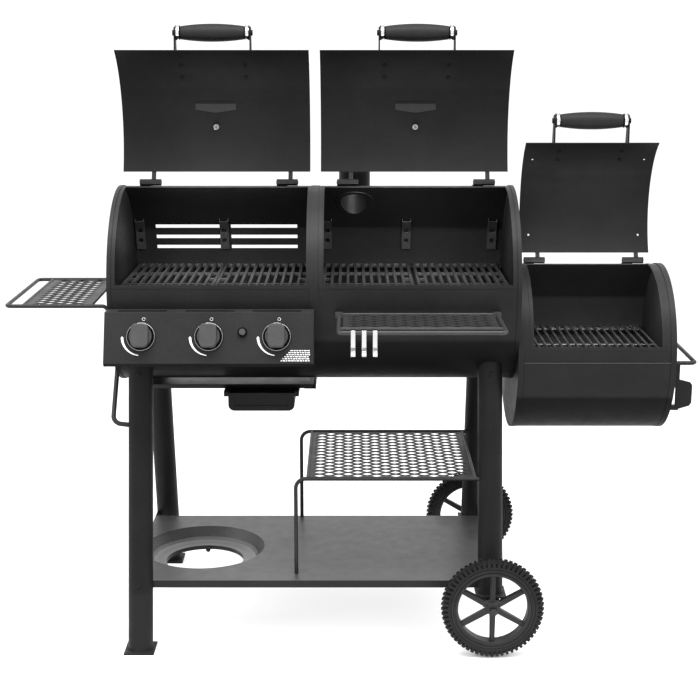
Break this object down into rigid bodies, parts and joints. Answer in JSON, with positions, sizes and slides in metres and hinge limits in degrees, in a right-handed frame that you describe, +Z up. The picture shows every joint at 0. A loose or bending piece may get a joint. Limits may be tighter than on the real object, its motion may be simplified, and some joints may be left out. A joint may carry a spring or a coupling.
{
  "type": "offset smoker",
  "caption": "Barrel grill with a gas side, a charcoal side and an offset firebox, hinged lids, wheeled stand and wire shelves.",
  "frame": {"origin": "middle of the bounding box on the floor, lids open", "axes": "+X to the firebox end, +Y to the back, +Z up"},
  "size_m": [1.7258, 0.8784, 1.5298],
  "materials": {
    "barrel_paint": "satin black high-temperature paint",
    "lid_paint": "satin black high-temperature paint on rolled sheet",
    "inner_paint": "matte black paint",
    "frame_paint": "satin black powder coat",
    "shelf_paint": "satin charcoal powder coat",
    "wire_paint": "black powder-coated wire and mesh",
    "cast_iron": "seasoned porous iron",
    "bare_steel": "plain rolled steel",
    "bright_steel": "polished",
    "valve_metal": "cast and machined",
    "grip_plastic": "fine-grained heat-resistant moulding",
    "knob_plastic": "semi-gloss moulding",
    "wheel_plastic": "moulded",
    "tyre_rubber": "moulded tread"
  },
  "bodies": {
    "smoker_frame": {"main_barrel": "barrel_paint", "barrel_caps": "barrel_paint", "divider_wall": "inner_paint", "opening_frames": "barrel_paint", "rack_brackets": "inner_paint", "inner_rails": "inner_paint", "gas_grates": "cast_iron", "charcoal_grates": "cast_iron", "burners": "bare_steel", "heat_tents": "bare_steel", "charcoal_tray": "inner_paint", "firebox_shell": "barrel_paint", "firebox_caps": "barrel_paint", "firebox_grate": "cast_iron", "control_panel": "barrel_paint", "gas_manifold": "valve_metal", "knob_bezels": "bright_steel", "grease_tray": "frame_paint", "tray_hangers": "frame_paint", "cup_bracket": "frame_paint", "hinge_leaves": "frame_paint", "chimney_pipe": "barrel_paint", "chimney_collar": "barrel_paint", "door_hinge": "frame_paint", "firebox_handle": "wire_paint", "legs": "frame_paint", "foot_plates": "frame_paint", "axle_brackets": "frame_paint", "axle": "bare_steel", "bottom_shelf": "shelf_paint", "frame_bolts": "frame_paint", "wire_shelf_frame": "wire_paint", "side_shelf_frame": "wire_paint", "front_shelf_frame": "wire_paint", "tool_hooks": "bright_steel", "shelf_meshes": "wire_paint"},
    "gas_lid": {"gas_lid": "lid_paint", "gas_lid_grip": "grip_plastic", "gas_lid_fittings": "frame_paint", "gas_lid_gauge": "bright_steel"},
    "coal_lid": {"coal_lid": "lid_paint", "coal_lid_grip": "grip_plastic", "coal_lid_fittings": "frame_paint", "coal_lid_gauge": "bright_steel"},
    "firebox_lid": {"firebox_lid": "lid_paint", "firebox_lid_grip": "grip_plastic", "firebox_lid_fittings": "frame_paint"},
    "knob_left": {"knob_left": "knob_plastic"},
    "knob_middle": {"knob_middle": "knob_plastic"},
    "knob_right": {"knob_right": "knob_plastic"},
    "igniter_button": {"igniter_button": "knob_plastic"},
    "grease_cup": {"grease_cup": "frame_paint"},
    "chimney_cap": {"chimney_cap": "barrel_paint"},
    "firebox_door": {"firebox_door": "barrel_paint"},
    "air_damper": {"air_damper": "frame_paint"},
    "wheel_front": {"wheel_front": "wheel_plastic", "tyre_front": "tyre_rubber"},
    "wheel_rear": {"wheel_rear": "wheel_plastic", "tyre_rear": "tyre_rubber"}
  },
  "joints": [
    {"name": "gas_lid_hinge", "type": "hinge", "parent": "smoker_frame", "child": "gas_lid", "pos_m": [-0.35158, 0.0688, 1.135], "axis": [1, 0, 0], "range_deg": [0, 118]},
    {"name": "coal_lid_hinge", "type": "hinge", "parent": "smoker_frame", "child": "coal_lid", "pos_m": [0.15202, 0.0688, 1.135], "axis": [1, 0, 0], "range_deg": [0, 118]},
    {"name": "firebox_lid_hinge", "type": "hinge", "parent": "smoker_frame", "child": "firebox_lid", "pos_m": [0.59893, 0.1088, 0.9278], "axis": [1, 0, 0], "range_deg": [0, 112.5]},
    {"name": "knob_left_turn", "type": "hinge", "parent": "smoker_frame", "child": "knob_left", "pos_m": [-0.51107, -0.25088, 0.8005], "axis": [0, -0.9257, 0.3783], "range_deg": [0, 135]},
    {"name": "knob_middle_turn", "type": "hinge", "parent": "smoker_frame", "child": "knob_middle", "pos_m": [-0.34908, -0.25088, 0.8005], "axis": [0, -0.9257, 0.3783], "range_deg": [0, 135]},
    {"name": "knob_right_turn", "type": "hinge", "parent": "smoker_frame", "child": "knob_right", "pos_m": [-0.18707, -0.25088, 0.8005], "axis": [0, -0.9257, 0.3783], "range_deg": [0, 135]},
    {"name": "igniter_press", "type": "slide", "parent": "smoker_frame", "child": "igniter_button", "axis": [0, 0.9257, -0.3783], "range_m": [0, 0.004], "stiffness_N_per_m": 300},
    {"name": "grease_cup_slide", "type": "slide", "parent": "smoker_frame", "child": "grease_cup", "axis": [0, -1, 0], "range_m": [0, 0.085]},
    {"name": "chimney_cap_swing", "type": "hinge", "parent": "smoker_frame", "child": "chimney_cap", "pos_m": [0.04893, 0.2118, 1.44], "axis": [0, 0, -1], "range_deg": [0, 95]},
    {"name": "firebox_door_hinge", "type": "hinge", "parent": "smoker_frame", "child": "firebox_door", "pos_m": [0.80032, 0.1838, 0.628], "axis": [0, 0, 1], "range_deg": [0, 110]},
    {"name": "air_damper_turn", "type": "hinge", "parent": "firebox_door", "child": "air_damper", "pos_m": [0.79773, 0.0598, 0.628], "axis": [1, 0, 0], "range_deg": [-60, 0]},
    {"name": "wheel_front_spin", "type": "hinge", "parent": "smoker_frame", "child": "wheel_front", "pos_m": [0.33932, -0.2872, 0.127], "axis": [0, 1, 0], "continuous": true},
    {"name": "wheel_rear_spin", "type": "hinge", "parent": "smoker_frame", "child": "wheel_rear", "pos_m": [0.33932, 0.4068, 0.127], "axis": [0, 1, 0], "continuous": true}
  ]
}
